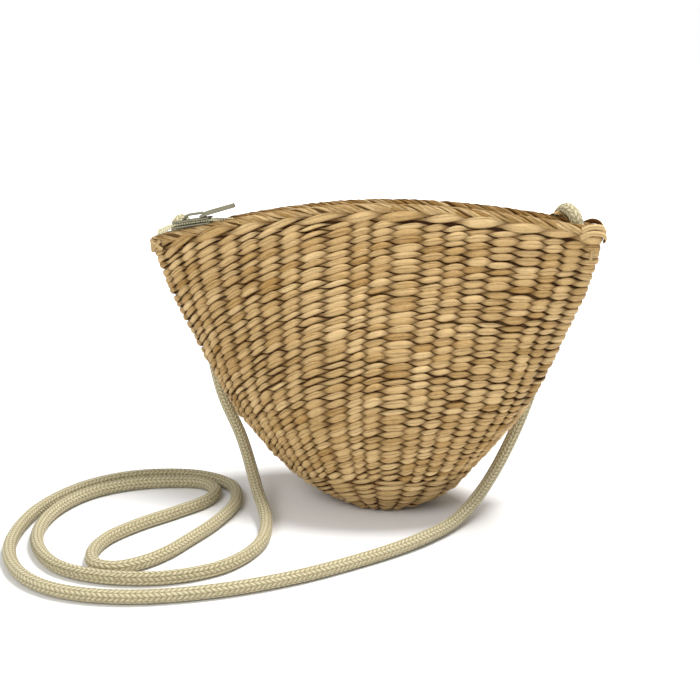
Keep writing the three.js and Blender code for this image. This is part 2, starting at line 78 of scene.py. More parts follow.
# One row for each ring of the weave, at a share of the way up the stakes. middle is its height and
# drop how far its ends hang, shares of BAG_HEIGHT and RIM_DROP. length, depth and mouth are shares
# of HALF_LENGTH, HALF_DEPTH and HALF_MOUTH. round spaces the stakes, and blunt shapes the outline.
RINGS = {
    "along":  (0.0, 0.09, 0.15, 0.20, 0.30, 0.40, 0.50, 0.60, 0.70, 0.80, 0.90, 1.0),
    "middle": (0.0, 0.0, 0.042, 0.092, 0.204, 0.322, 0.441, 0.556, 0.669, 0.779, 0.889, 1.0),
    "drop":   (0.0, 0.0, 0.17, 0.34, 0.58, 0.82, 1.03, 1.08, 1.07, 1.06, 1.03, 1.0),
    "length": (0.0, 0.15, 0.25, 0.327, 0.449, 0.563, 0.671, 0.754, 0.828, 0.903, 0.961, 1.0),
    "depth":  (0.0, 0.37, 0.58, 0.73, 0.92, 1.0, 0.94, 0.80, 0.63, 0.44, 0.22, 0.0),
    "mouth":  (0.0, 0.0, 0.0, 0.0, 0.0, 0.0, 0.05, 0.12, 0.22, 0.37, 0.63, 1.0),
    "round":  (1.0, 1.0, 1.0, 1.0, 0.95, 0.88, 0.80, 0.70, 0.60, 0.50, 0.38, 0.28),
    "blunt":  (2.0, 2.0, 2.0, 2.0, 2.0, 2.0, 2.05, 2.1, 2.2, 2.5, 3.2, 6.0),
}

# The zip's course along the mouth, at shares of HALF_LENGTH: side is its shift to the front, a
# share of CHAIN_SIDE, and lift runs from CHAIN_SINK below the rim to CHAIN_RISE above it
ZIP_PATH = {
    "share": (-1.0, -0.93, -0.87, -0.78, -0.67, -0.61, -0.53, -0.45, 1.0),
    "side":  (0.6, 0.85, 1.0, 1.0, 1.0, 0.7, 0.25, 0.0, 0.0),
    "lift":  (0.98, 1.16, 1.36, 1.18, 0.94, 0.58, 0.16, 0.0, 0.0),
}
CHAIN_WIDTH = 4 * MM
CHAIN_THICK = 1.4 * MM
TAPE_THICK = 1 * MM
ZIP_LEFT = 6.5 * MM - HALF_LENGTH
ZIP_RIGHT = HALF_LENGTH - 22 * MM
FRONT_TAPE_LEFT = 9 * MM - HALF_LENGTH
BACK_TAPE_LEFT = 25 * MM - HALF_LENGTH
CHAIN_SINK = 3 * MM
CHAIN_RISE = 2.2 * MM
CHAIN_SIDE = 6.5 * MM
TAPE_SEAM = 7 * MM
SLIDER_X = 29.5 * MM - HALF_LENGTH
SLIDER_LENGTH = 24 * MM
SLIDER_WIDTH = 8 * MM
PLATE = 0.8 * MM
BRIDGE_WIDTH = 2 * MM
BRIDGE_THICK = 1.2 * MM
BRIDGE_LENGTH = 15 * MM
BRIDGE_CORNER = 1.6 * MM
PULL_LENGTH = 21 * MM
PULL_WIDTH = 7 * MM
PULL_THICK = 1.3 * MM
BLADE_THICK = 2.5 * MM
PULL_ANGLE = math.radians(7)
UPPER_FACE = CHAIN_THICK / 2 + GAP + PLATE
HINGE_X = BRIDGE_LENGTH / 2 - BRIDGE_CORNER + 1 * MM
HINGE_Z = UPPER_FACE + PULL_THICK / 2 + 0.5 * MM
PULL_REACH = BRIDGE_CORNER + BRIDGE_THICK / 2 + 0.8 * MM

CORD_DIAMETER = 7 * MM
CORD_LENGTH = 1596 * MM
# The strap's route as the CAD model has it, in millimetres
CORD_ROUTE = (
    (-111.5, 0.2, 138.5), (-115, 1.9, 155.2), (-114.6, 6.8, 157.8), (-113.6, 11.8, 155.4),
    (-109, 15.6, 128), (-94.5, 12.5, 56), (-75, -5, 31),
    (-55, -36, 12), (-40, -64, 5.4), (-34.5, -92, 3.7), (-43, -123, 3.7), (-66, -143, 3.7),
    (-97, -150.5, 3.7), (-124, -145, 3.7), (-146, -125, 3.7), (-158, -99, 3.7), (-160.5, -70, 3.7),
    (-153, -45, 3.7), (-137, -27.5, 3.7), (-115, -17, 3.7), (-97, -14.5, 3.7), (-85.5, -23, 3.7),
    (-84, -39, 3.7), (-94.5, -61.5, 3.7), (-107.5, -84, 3.7), (-115.5, -106, 3.7), (-114.5, -125, 3.7),
    (-106.5, -138, 3.7), (-95.5, -139, 3.7), (-84.5, -129, 3.7), (-77.5, -115, 3.7), (-72.5, -95, 3.7),
    (-67.5, -69, 3.7), (-67.5, -38, 3.7), (-79, -14, 3.7), (-101, -4, 3.7), (-122, -6, 3.7),
    (-145, -17.5, 3.7), (-163, -41, 3.7), (-171, -78, 3.7), (-163.5, -121, 3.7), (-149, -147, 3.7),
    (-130, -163.5, 3.7), (-107.5, -171, 3.7), (-76, -168.5, 3.7), (-43, -154.5, 3.7), (-10, -131, 3.7),
    (18, -102, 3.7), (46, -65, 4.4), (62, -31, 6.5),
    (77, 10, 26), (94, 27.5, 76), (102.2, 17.6, 148), (104.4, 13.9, 167.5),
    (108.6, 8.2, 173), (113.4, 2.6, 171.6), (116.4, 0.5, 164), (115, 0.2, 149.5),
)


class BasketSizes(bpy.types.PropertyGroup):
    """Sizes of the straw and of how it is twined."""

    rows: IntProperty(
        name="Rows", description="Twined rows from the base to the border", default=49, min=30, max=70)
    strand_height: FloatProperty(
        name="Strand height",
        description="Height of a strand where it crosses a stake", default=4.7 * MM, unit="LENGTH")
    strand_thickness: FloatProperty(
        name="Strand thickness", description="Thickness of a strand there", default=2.5 * MM, unit="LENGTH")
    strand_sway: FloatProperty(
        name="Strand sway",
        description="How far a strand moves in and out of the wall", default=0.7 * MM, unit="LENGTH")
    strand_slant: FloatProperty(
        name="Strand slant",
        description="How far a strand climbs as it crosses a stake", default=1.2 * MM, unit="LENGTH")
    stake_width: FloatProperty(
        name="Stake width", description="Width of an upright stake", default=2.6 * MM, unit="LENGTH")
    plait_pitch: FloatProperty(
        name="Plait pitch",
        description="Length of one full turn of a border strand", default=36 * MM, unit="LENGTH")
    tooth_pitch: FloatProperty(
        name="Tooth pitch", description="Distance between the zip's teeth", default=1.5 * MM, unit="LENGTH")
    braid_pitch: FloatProperty(
        name="Braid pitch",
        description="Length of one stitch of the strap's braid", default=2.7 * MM, unit="LENGTH")


COLOUR = {"subtype": "COLOR", "size": 4}


class BasketColours(bpy.types.PropertyGroup):
    """Colours of the straw, the zip and the strap."""

    straw: FloatVectorProperty(
        name="Straw", description="Middle colour of the straw", default=(0.53, 0.355, 0.125, 1), **COLOUR)
    pale_straw: FloatVectorProperty(
        name="Pale straw", description="The lightest strands", default=(0.78, 0.57, 0.29, 1), **COLOUR)
    brown_straw: FloatVectorProperty(
        name="Brown straw", description="The darkest strands", default=(0.35, 0.19, 0.045, 1), **COLOUR)
    cotton: FloatVectorProperty(
        name="Cotton", description="The strap's cotton", default=(0.60, 0.53, 0.33, 1), **COLOUR)
    tape: FloatVectorProperty(
        name="Zip tape", description="The zip's cloth tape", default=(0.52, 0.47, 0.32, 1), **COLOUR)
    teeth: FloatVectorProperty(
        name="Zip teeth", description="The zip's nylon teeth", default=(0.56, 0.52, 0.32, 1), **COLOUR)
    metal: FloatVectorProperty(
        name="Slider metal",
        description="The brushed metal of slider and pull", default=(0.24, 0.225, 0.15, 1), **COLOUR)
    floor: FloatVectorProperty(
        name="Floor", description="The studio floor", default=(0.9, 0.9, 0.9, 1), **COLOUR)


class Wire:
    """A node's output that can be written in an expression."""

    def __init__(self, finish, socket):
        self.finish = finish
        self.socket = socket

    def __add__(self, other):
        return self.finish.math("ADD", self, other)

    __radd__ = __add__

    def __sub__(self, other):
        return self.finish.math("SUBTRACT", self, other)

    def __rsub__(self, other):
        return self.finish.math("SUBTRACT", other, self)

    def __mul__(self, other):
        return self.finish.math("MULTIPLY", self, other)

    __rmul__ = __mul__


class Finish:
    """A material and the nodes it is made of."""

    def __init__(self, name):
        self.material = bpy.data.materials.new(name)
        self.material.use_nodes = True
        self.nodes = self.material.node_tree.nodes
        self.links = self.material.node_tree.links
        self.surface = self.nodes["Principled BSDF"]

    def node(self, kind, settings=None, output=0, **sockets):
        made = self.nodes.new(kind)
        for key, value in (settings or {}).items():
            if key == "stops":
                for place, colour in value[2:]:
                    made.color_ramp.elements.new(place)
                for element, (place, colour) in zip(made.color_ramp.elements, value):
                    element.position = place
                    element.color = colour
            else:
                setattr(made, key, value)
        for key, value in sockets.items():
            self.feed(made.inputs[int(key[1:]) if key[0] == "_" else key.replace("_", " ")], value)
        return Wire(self, made.outputs[output])

    def feed(self, socket, value):
        if isinstance(value, Wire):
            self.links.new(value.socket, socket)
        else:
            socket.default_value = value

    def math(self, operation, a, b=0.0, clamp=False):
        return self.node("ShaderNodeMath", {"operation": operation, "use_clamp": clamp}, _0=a, _1=b)

    def mix(self, factor, a, b, blend="MIX"):
        kind = {"data_type": "RGBA", "blend_type": blend}
        return self.node("ShaderNodeMix", kind, output=2, _0=factor, _6=a, _7=b)

    def place(self):
        """Object coordinates."""
        return self.node("ShaderNodeTexCoord", output=3)

    def grain(self):
        """The UV map's two directions: along a strand and around it."""
        return self.parts(self.node("ShaderNodeUVMap", {"uv_map": "UVMap"}))

    def noise(self, scale, detail, place=None, **more):
        """Noise over object coordinates, or over another place."""
        place = place or self.place()
        return self.node("ShaderNodeTexNoise", Vector=place, Scale=scale, Detail=detail, **more)

    def bump(self, strength, distance, height):
        return self.node("ShaderNodeBump", Strength=strength, Distance=distance, Height=height)

    def attribute(self, name, output=2):
        return self.node("ShaderNodeAttribute", {"attribute_name": name}, output=output)

    def vector(self, x=0.0, y=0.0, z=0.0):
        return self.node("ShaderNodeCombineXYZ", X=x, Y=y, Z=z)

    def parts(self, wire):
        made = self.nodes.new("ShaderNodeSeparateXYZ")
        self.links.new(wire.socket, made.inputs[0])
        return [Wire(self, socket) for socket in made.outputs]

    def set(self, **sockets):
        for key, value in sockets.items():
            self.feed(self.surface.inputs[key.replace("_", " ")], value)
        return self.material


def colours():
    return bpy.context.scene.basket_colours


def sizes():
    return bpy.context.scene.basket_sizes


# Form of the basket

def between(table, key, column, place):
    """One column of a table at places between its rows, as a smooth curve."""
    x = np.array(table[key], float)
    y = np.array(table[column], float)
    slope = np.diff(y) / np.diff(x)
    product = slope[:-1] * slope[1:]
    total = np.where(slope[:-1] + slope[1:] == 0, 1, slope[:-1] + slope[1:])
    inner = np.where(product <= 0, 0, 2 * product / total)
    tangent = np.concatenate([slope[:1], inner, slope[-1:]])
    place = np.asarray(place, float)
    i = np.clip(np.searchsorted(x, place, side="left") - 1, 0, len(x) - 2)
    span = x[i + 1] - x[i]
    t = np.clip((place - x[i]) / span, 0, 1)
    rise = t * t * (3 - 2 * t)
    bow = t * (1 - t) ** 2 * tangent[i] - t * t * (1 - t) * tangent[i + 1]
    return y[i] * (1 - rise) + y[i + 1] * rise + bow * span


def ring(column, along):
    return between(RINGS, "along", column, along)


def basket_point(turn, along):
    """Points of the unleaned basket: turn runs round from the +X end by the back, along up the stakes."""
    turn = np.mod(turn, 1.0)
    half_length = HALF_LENGTH * ring("length", along)
    half_depth = HALF_DEPTH * ring("depth", along) + HALF_MOUTH * ring("mouth", along)
    side = np.where(turn < 0.5, 1.0, -1.0)
    across = np.where(turn < 0.5, 1 - 4 * turn, 4 * turn - 3)
    bend = math.pi / 2 * ring("round", along)
    share = np.sin(across * bend) / np.sin(bend)
    depth = np.sqrt(np.maximum(0, 1 - np.abs(share) ** ring("blunt", along)))
    height = BAG_HEIGHT * ring("middle", along) - RIM_DROP * ring("drop", along) * np.abs(share) ** 1.8
    return np.stack([half_length * share, side * half_depth * depth, height], axis=-1)


def lean(point):
    """The same points where they stand: leaning above, flat on the floor below."""
    t = np.clip(point[..., 2] / LEAN_START, 0, 1)
    hold = t * t * (3 - 2 * t)
    return leaned(point, hold)


def leaned(point, hold=1.0):
    x, y, z = point[..., 0], point[..., 1], point[..., 2]
    return np.stack([
        BASE_X + x * math.cos(LEAN) - z * math.sin(LEAN),
        y,
        z * math.cos(LEAN) + x * math.sin(LEAN) * hold,
    ], axis=-1)


def unit(vectors):
    return vectors / np.maximum(np.linalg.norm(vectors, axis=-1, keepdims=True), 1e-12)


def surface(turn, along):
    """Places on the standing basket, with their directions outwards, up the stake and round the row."""
    step = 0.004
    turn, along = np.broadcast_arrays(np.asarray(turn, float), np.asarray(along, float))
    low = np.maximum(along, 2 * step)
    high = np.minimum(low + step, 1)
    round_way = unit(lean(basket_point(turn + step, low)) - lean(basket_point(turn - step, low)))
    up_way = lean(basket_point(turn, high)) - lean(basket_point(turn, high - 2 * step))
    out_way = unit(np.cross(round_way, up_way))
    up_way = unit(np.cross(out_way, round_way))
    return lean(basket_point(turn, along)), out_way, up_way, round_way


def wall_top(turn):
    """How far up its stake the wall ends, just under the border."""
    step = 0.04
    climb = (basket_point(turn, 1.0) - basket_point(turn, 1 - step))[..., 2] / step
    return 1 - (BORDER_HEIGHT + 1.4 * GAP) / climb


def rim_height(x):
    return BAG_HEIGHT - RIM_DROP * np.abs(x / HALF_LENGTH) ** 1.8


def half_depth_at(x, below):
    """Outer half-depth of the mouth at a place along it, some way below the rim."""
    climb = BAG_HEIGHT * (1 - ring("middle", 0.96)) / 0.04
    along = 1 - below / climb
    share = np.minimum(np.abs(x) / (HALF_LENGTH * ring("length", along)), 1)
    half_depth = HALF_DEPTH * ring("depth", along) + HALF_MOUTH * ring("mouth", along)
    return half_depth * np.sqrt(1 - share ** ring("blunt", along))


def chain_point(x):
    """The middle of the zip's chain at a place along the mouth, unleaned."""
    share = np.asarray(x, float) / HALF_LENGTH
    side = between(ZIP_PATH, "share", "side", share)
    lift = between(ZIP_PATH, "share", "lift", share)
    height = rim_height(np.asarray(x, float)) - CHAIN_SINK + lift * (CHAIN_SINK + CHAIN_RISE)
    return np.stack([np.asarray(x, float) + 0 * share, -CHAIN_SIDE * side, height], axis=-1)


# Mesh building

def mesh_of(made, name):
    """A bmesh turned into a mesh."""
    mesh = bpy.data.meshes.new(name)
    made.to_mesh(mesh)
    made.free()
    return mesh


def linked(name, data):
    """A new object in the scene."""
    piece = bpy.data.objects.new(name, data)
    bpy.context.scene.collection.objects.link(piece)
    return piece


def thickened(piece, thickness, offset):
    thick = piece.modifiers.new("thickness", "SOLIDIFY")
    thick.thickness = thickness
    thick.offset = offset


def grid(steps, sides):
    """A flat grid of faces whose UV map keeps its two directions: along and around."""
    made = bmesh.new()
    made.loops.layers.uv.new("UVMap")
    bmesh.ops.create_grid(made, x_segments=steps, y_segments=sides, size=1.0, calc_uvs=True)
    mesh = mesh_of(made, "grid")
    co = np.empty(len(mesh.vertices) * 3)
    mesh.vertices.foreach_get("co", co)
    co = co.reshape(-1, 3)
    along = np.rint((co[:, 0] + 1) / 2 * steps).astype(int)
    around = np.rint((co[:, 1] + 1) / 2 * sides).astype(int)
    return mesh, along, around


def copies(name, template, shapes, attributes=None, smooth=True, merge=1e-6):
    """One object of many copies of a template mesh, each with its own places for the vertices."""
    made = bmesh.new()
    for _ in shapes:
        made.from_mesh(template)
    mesh = mesh_of(made, name)
    mesh.vertices.foreach_set("co", np.concatenate(shapes).astype(np.float32).ravel())
    for key, values in (attributes or {}).items():
        layer = mesh.attributes.new(key, "FLOAT", "POINT")
        layer.data.foreach_set("value", np.concatenate(values).astype(np.float32).ravel())
    if merge:
        made = bmesh.new()
        made.from_mesh(mesh)
        bmesh.ops.remove_doubles(made, verts=made.verts, dist=merge)
        bmesh.ops.dissolve_degenerate(made, edges=made.edges, dist=merge / 10)
        made.to_mesh(mesh)
        made.free()
    mesh.polygons.foreach_set("use_smooth", [smooth] * len(mesh.polygons))
    mesh.update()
    return linked(name, mesh)


def section(around, sides, power=2.0):
    """Cross-section of a strand: shares across its width and through its thickness."""
    angle = -2 * math.pi * around / sides - math.pi / 2
    wide, thick = np.cos(angle), np.sin(angle)
    return np.sign(wide) * np.abs(wide) ** (2 / power), np.sign(thick) * np.abs(thick) ** (2 / power)


def strands(name, lines, sides=8, power=2.0):
    """Strands of one count of steps. A line has its points, its flat side's direction, its outward one,
    half its width and thickness, and tint, seed and deep values for the finish; deep sets its painted shade."""
    steps = len(lines[0]["points"]) - 1
    template, along, around = grid(steps, sides)
    wide, thick = section(around, sides, power)
    shapes, values = [], {"tint": [], "seed": [], "deep": []}
    for line in lines:
        shapes.append(
            line["points"][along]
            + line["side"][along] * (wide * np.broadcast_to(line["wide"], steps + 1)[along])[:, None]
            + line["out"][along] * (thick * np.broadcast_to(line["thick"], steps + 1)[along])[:, None]
        )
        for key in values:
            values[key].append(np.broadcast_to(line.get(key, 0.5), steps + 1)[along])
    return copies(name, template, shapes, values)


def finished(piece, material, body, slot, *replaced):
    """Gives a piece its material and the body it rides on, and hides the CAD nodes it stands for; slot is not
    used.
    """
    piece.data.materials.clear()
    piece.data.materials.append(material)
    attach(piece, body)
    if replaced:
        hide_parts(*replaced)
    return piece


def waves(rng, turn, count, size):
    """A smooth random line that closes round the basket."""
    total = np.zeros_like(turn)
    for n in range(1, count + 1):
        total += rng.normal() / math.sqrt(count) * np.sin(2 * math.pi * (n * turn + rng.random()))
    return size * total


# Finishes

def straw_finish(name, shade=1.0, rough=0.62):
    """Dried straw: fibres along strands of several colours, split here and there, with painted shade where a
    strand lies deep, towards its hidden edges and along its splits.
    """
    finish = Finish(name)
    c = colours()
    along, around, _ = finish.grain()
    tint, seed, deep = (finish.attribute(key) for key in ("tint", "seed", "deep"))
    fibre = finish.noise(1.0, 3.0, finish.vector(along * 70.0, around * 44.0, seed * 100.0), Roughness=0.6)
    cloud = finish.noise(55.0, 2.0)
    speck = finish.noise(700.0, 2.0)
    level = tint + (fibre - 0.5) * 1.15 + (cloud - 0.5) * 0.3 + (speck - 0.5) * 0.3
    # edge is 1 on a strand's inner face and 0 on its outer crown, and drives painted shade towards the
    # strand's edges
    edge = finish.math("POWER", finish.math("COSINE", around * (2 * math.pi)) * 0.5 + 0.5, 1.2)
    off = finish.math("ABSOLUTE", around - 0.5 - (seed - 0.5) * 0.22)
    worn = finish.math("GREATER_THAN", fibre + seed * 0.35, 0.62)
    split = finish.math("MULTIPLY", 1.0 - off * 30.0, worn, clamp=True)
    shades = (c.brown_straw, c.straw, c.pale_straw)
    # shade below 1 darkens every colour of the straw, a painted shade used for the inner face
    dark, middle, pale = ([v * shade for v in colour[:3]] for colour in shades)
    yellow = [v * share for v, share in zip(middle, (1.02, 1.03, 0.86))]
    pink = [v * share for v, share in zip(middle, (1.05, 0.95, 1.08))]
    # The ramp makes its two end stops itself, so they are listed first
    stops = ((0.0, dark), (1.0, pale), (0.3, middle), (0.42, yellow), (0.55, pink), (0.68, yellow))
    stops = [(at, [*colour, 1]) for at, colour in stops]
    ramp = finish.node("ShaderNodeValToRGB", {"stops": stops}, Fac=level)
    # Painted shade: dark brown multiplied in where a strand lies deep, towards its edges and along its splits
    shadow = finish.math("MAXIMUM", deep * 0.95, edge * 1.4 - 0.12, clamp=True)
    painted_shade = finish.math("MAXIMUM", shadow, split * 0.5)
    colour = finish.mix(painted_shade, ramp, [0.16, 0.085, 0.006, 1], "MULTIPLY")
    bump = finish.bump(0.7, 0.0006, fibre + speck * 0.3 - split * 0.9)
    sheen = rough + (fibre - 0.5) * 0.25
    return finish.set(Base_Color=colour, Roughness=sheen, Specular_IOR_Level=0.2, Normal=bump)


def cloth_finish():
    """Woven zip tape: fine ribs across, flat and matte."""
    finish = Finish("woven_zip_tape")
    along, around, _ = finish.grain()
    weave = finish.math("SINE", along * 1500.0) * finish.math("SINE", around * 60.0)
    threads = finish.math("MULTIPLY_ADD", weave, 0.2, clamp=True)
    colour = finish.mix(threads, colours().tape[:], [0.68, 0.62, 0.44, 1])
    colour = finish.mix((finish.noise(300.0, 3.0) - 0.35) * 0.8, colour, [0.36, 0.31, 0.2, 1])
    return finish.set(Base_Color=colour, Roughness=0.9, Normal=finish.bump(0.4, 0.0003, weave))


def nylon_finish():
    """Moulded nylon teeth with a soft gloss and a cloudy tone."""
    finish = Finish("nylon_teeth")
    cloud = finish.noise(400.0, 3.0)
    colour = finish.mix(cloud, colours().teeth[:], [0.70, 0.66, 0.45, 1])
    bump = finish.bump(0.15, 0.0001, cloud)
    return finish.set(Base_Color=colour, Roughness=0.42 + cloud * 0.1, Normal=bump)


def metal_finish():
    """Brushed, slightly tarnished metal."""
    finish = Finish("brushed_slider_metal")
    x, y, z = finish.parts(finish.place())
    lines = finish.noise(1.0, 4.0, finish.vector(x * 250.0, y * 6000.0, z * 6000.0), Roughness=0.7)
    cloud = finish.noise(350.0, 4.0)
    colour = finish.mix((cloud - 0.3) * 0.9, colours().metal[:], [0.15, 0.14, 0.10, 1])
    colour = finish.mix((lines - 0.42) * 0.7, colour, [0.42, 0.42, 0.36, 1])
    rough = 0.5 + (lines - 0.5) * 0.3 + cloud * 0.1
    bump = finish.bump(0.35, 0.0001, lines)
    return finish.set(Base_Color=colour, Metallic=0.55, Roughness=rough, Normal=bump)


def cotton_finish():
    """Braided cotton: small herringbone stitches with painted shade in the hollows between them, smooth and
    pale at the sides, specked along the middle.
    """
    finish = Finish("braided_cotton")
    along, around, _ = finish.grain()
    columns = 10.0
    fold = finish.math("PINGPONG", around * columns, 1.0)
    slant = finish.math("FRACT", along * (CORD_LENGTH / sizes().braid_pitch) + fold * 0.8)
    hump = finish.math("SINE", slant * math.pi)
    edge = finish.math("SINE", finish.math("FRACT", around * columns) * math.pi)
    relief = finish.math("POWER", hump, 0.6) * finish.math("POWER", edge, 0.4)
    fuzz = finish.noise(900.0, 3.0)
    cloud = finish.noise(40.0, 2.0)
    facing = finish.math("ABSOLUTE", finish.math("COSINE", around * (2 * math.pi)))
    middle = finish.math("POWER", facing, 4.0)
    pale = finish.mix((cloud - 0.3) * 0.5, colours().cotton[:], [0.72, 0.66, 0.46, 1])
    # Painted shade: dark brown in the hollows between the stitches, pale on their raised tops
    colour = finish.mix(relief * 1.1 + (fuzz - 0.5) * 0.7, [0.25, 0.20, 0.085, 1], pale)
    flecks = finish.math("MULTIPLY", (finish.noise(1500.0, 1.0) - 0.5) * 6.0, middle, clamp=True)
    colour = finish.mix(flecks * 0.75, colour, [0.24, 0.20, 0.10, 1])
    bump = finish.bump(0.8, 0.0008, relief + fuzz * 0.3)
    return finish.set(Base_Color=colour, Roughness=0.92, Sheen_Weight=0.15, Normal=bump)


# Strap

def strap_line(count):
    """The strap's middle line in metres."""
    return smooth_line(CORD_ROUTE, count)


def smooth_line(points, count):
    """Even steps along a smooth curve through points in millimetres."""
    points = np.array(points, float) * MM
    ends = [2 * points[0] - points[1], *points, 2 * points[-1] - points[-2]]
    fine = []
    for p0, p1, p2, p3 in zip(ends, ends[1:], ends[2:], ends[3:]):
        gaps = [max(np.linalg.norm(b - a), 1e-9) ** 0.5 for a, b in ((p0, p1), (p1, p2), (p2, p3))]
        t = np.cumsum([0] + gaps)
        s = np.linspace(t[1], t[2], 40, endpoint=False)[:, None]
        a1 = (t[1] - s) / (t[1] - t[0]) * p0 + (s - t[0]) / (t[1] - t[0]) * p1
        a2 = (t[2] - s) / (t[2] - t[1]) * p1 + (s - t[1]) / (t[2] - t[1]) * p2
        a3 = (t[3] - s) / (t[3] - t[2]) * p2 + (s - t[2]) / (t[3] - t[2]) * p3
        b1 = (t[2] - s) / (t[2] - t[0]) * a1 + (s - t[0]) / (t[2] - t[0]) * a2
        b2 = (t[3] - s) / (t[3] - t[1]) * a2 + (s - t[1]) / (t[3] - t[1]) * a3
        fine.append((t[2] - s) / (t[2] - t[1]) * b1 + (s - t[1]) / (t[2] - t[1]) * b2)
    fine = np.concatenate(fine + [points[-1:]])
    run = np.concatenate([[0], np.cumsum(np.linalg.norm(np.diff(fine, axis=0), axis=1))])
    even = np.linspace(0, run[-1], count + 1)
    return np.stack([np.interp(even, run, fine[:, k]) for k in range(3)], axis=-1)


def carried(points):
    """Side and outward directions that a cord keeps along its line without turning about it."""
    ahead = unit(np.gradient(points, axis=0))
    side = np.cross(ahead[0], (0, 0, 1.0))
    sides = []
    for way in ahead:
        side = unit(side - way * np.dot(side, way))
        sides.append(side)
    sides = np.array(sides)
    return sides, np.cross(ahead, sides)


class BASKET_OT_camera(bpy.types.Operator):
    """Sets the camera where the photograph was taken from"""

    bl_idname = "basket.camera"
    bl_label = "Camera"

    def execute(self, context):
        lens = bpy.data.cameras.new("camera")
        lens.sensor_width = 36.0
        lens.lens = 66.92
        lens.shift_y = -0.0259
        camera = bpy.data.objects.new("camera", lens)
        camera.location = (0.1808, -0.6957, 0.2793)
        camera.rotation_euler = (math.radians(90 - 14.05), 0, math.radians(15.33))
        context.scene.collection.objects.link(camera)
        context.scene.camera = camera
        return {"FINISHED"}


class BASKET_OT_strap(bpy.types.Operator):
    """Lays the braided cotton strap on its route and ties its two hidden knots"""

    bl_idname = "basket.strap"
    bl_label = "Strap"

    def execute(self, context):
        cotton = cotton_finish()
        points = strap_line(1100)
        side, out = carried(points)
        radius = np.full(len(points), CORD_DIAMETER / 2)
        radius[[0, -1]] = 0
        points[0], points[-1] = points[1], points[-2]
        line = {"points": points, "side": side, "out": out, "wide": radius, "thick": radius}
        cord = strands("strap", [line], 16)
        finished(cord, cotton, "bag", "cotton_cord", "strap_cord")
        for name, node in (("knot_left", "strap_knot_left"), ("knot_right", "strap_knot_right")):
            low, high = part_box(node)
            middle, reach = np.array((low + high) / 2), (high - low).z / 2
            t = np.linspace(0, 2 * math.pi, 73)
            x, y, z = np.sin(t) + 2 * np.sin(2 * t), np.cos(t) - 2 * np.cos(2 * t), -1.6 * np.sin(3 * t)
            line = middle + np.stack([x, y, z], axis=-1) / 3.0 * (reach - 1.9 * MM)
            side, out = carried(line)
            lines = [{"points": line, "side": side, "out": out, "wide": 1.85 * MM, "thick": 1.85 * MM}]
            finished(strands(name, lines, 10), cotton, "bag", "cotton_cord", node)
        strap_line(400)
        return {"FINISHED"}


# Weave

STAKES = 40
CENTRE_TOP = 0.075  # share of the way up where bundles of four stakes end
BASE_TOP = 0.27  # and where pairs of stakes end
ROWS_TOP = 0.983  # where the even rows end, under the wide row below the border
FOOT = 0.2  # below this the rows lie deeper in the wall
BANDS = 4.2  # pieces per whole stake that the upper rows are made in
STAKE_DEPTH = 1.55 * MM
BACKING_DEPTH = 2.05 * MM


def stakes_at(share):
    """How many stakes a row goes over: all of them above, bundles of them towards the base."""
    return STAKES // 4 if share < CENTRE_TOP else STAKES // 2 if share < BASE_TOP else STAKES


def band_at(share):
    """The piece that a row belongs to."""
    if share < CENTRE_TOP:
        return "weave_centre"
    return "weave_base" if share < BASE_TOP else f"weave_{int((share - BASE_TOP) * BANDS)}"


def sway(turn):
    """How far the stakes stand from their even places, in stakes."""
    return waves(np.random.default_rng(7), turn, 14, 0.09)


def row_strands(rng, share, stakes, height, slant=1.0):
    """The two strands of one twined row, each over every other stake."""
    s = sizes()
    steps = stakes * 8
    turn = np.linspace(0, 1, steps + 1)
    along = wall_top(turn) * share + waves(rng, turn, 9, 0.0017)
    height = height * (1 + 0.06 * rng.normal())
    leftward = 1 - np.abs(2 * turn - 1)
    point, out, up, _ = surface(turn, along)
    lines = []
    for strand in (0, 1):
        phase = math.pi * (stakes * turn + sway(turn) * stakes / STAKES + strand + waves(rng, turn, 6, 0.05))
        pick = np.floor(phase / (2 * math.pi) + 0.5).astype(int) % (stakes // 2)
        roll, swell, lift, shade = (rng.normal(size=stakes // 2)[pick] for _ in range(4))
        slim = np.where(rng.random(stakes // 2) < 0.035, 0.6, 1.0)[pick]
        over = np.cos(phase)
        crown = np.maximum(over, 0) ** 0.8
        half = height / 2 * (0.34 + 0.66 * crown * slim) * (1 + 0.13 * swell)
        thick = s.strand_thickness / 2 * (0.55 + 0.45 * crown) * (1 + 0.12 * swell)
        rise = slant * s.strand_slant * (0.5 + 0.8 * leftward) * np.sin(phase) + 0.24 * MM * lift * crown
        depth = -(1.7 + 0.9 * max(0, 1 - share / FOOT)) * MM + s.strand_sway * over
        depth = depth + 0.15 * MM * lift * crown
        tilt = 0.2 * roll
        lines.append({
            "points": point + out * depth[:, None] + up * rise[:, None],
            "side": up * np.cos(tilt)[:, None] + out * np.sin(tilt)[:, None],
            "out": out * np.cos(tilt)[:, None] - up * np.sin(tilt)[:, None],
            "wide": half, "thick": thick,
            "tint": np.clip(0.5 + 0.14 * shade + 0.05 * rng.normal(), 0.02, 0.98),
            # deep paints shade where the strand passes behind a stake
            "seed": rng.random(stakes // 2)[pick], "deep": np.clip(0.55 - 0.75 * over, 0, 1),
        })
    return lines


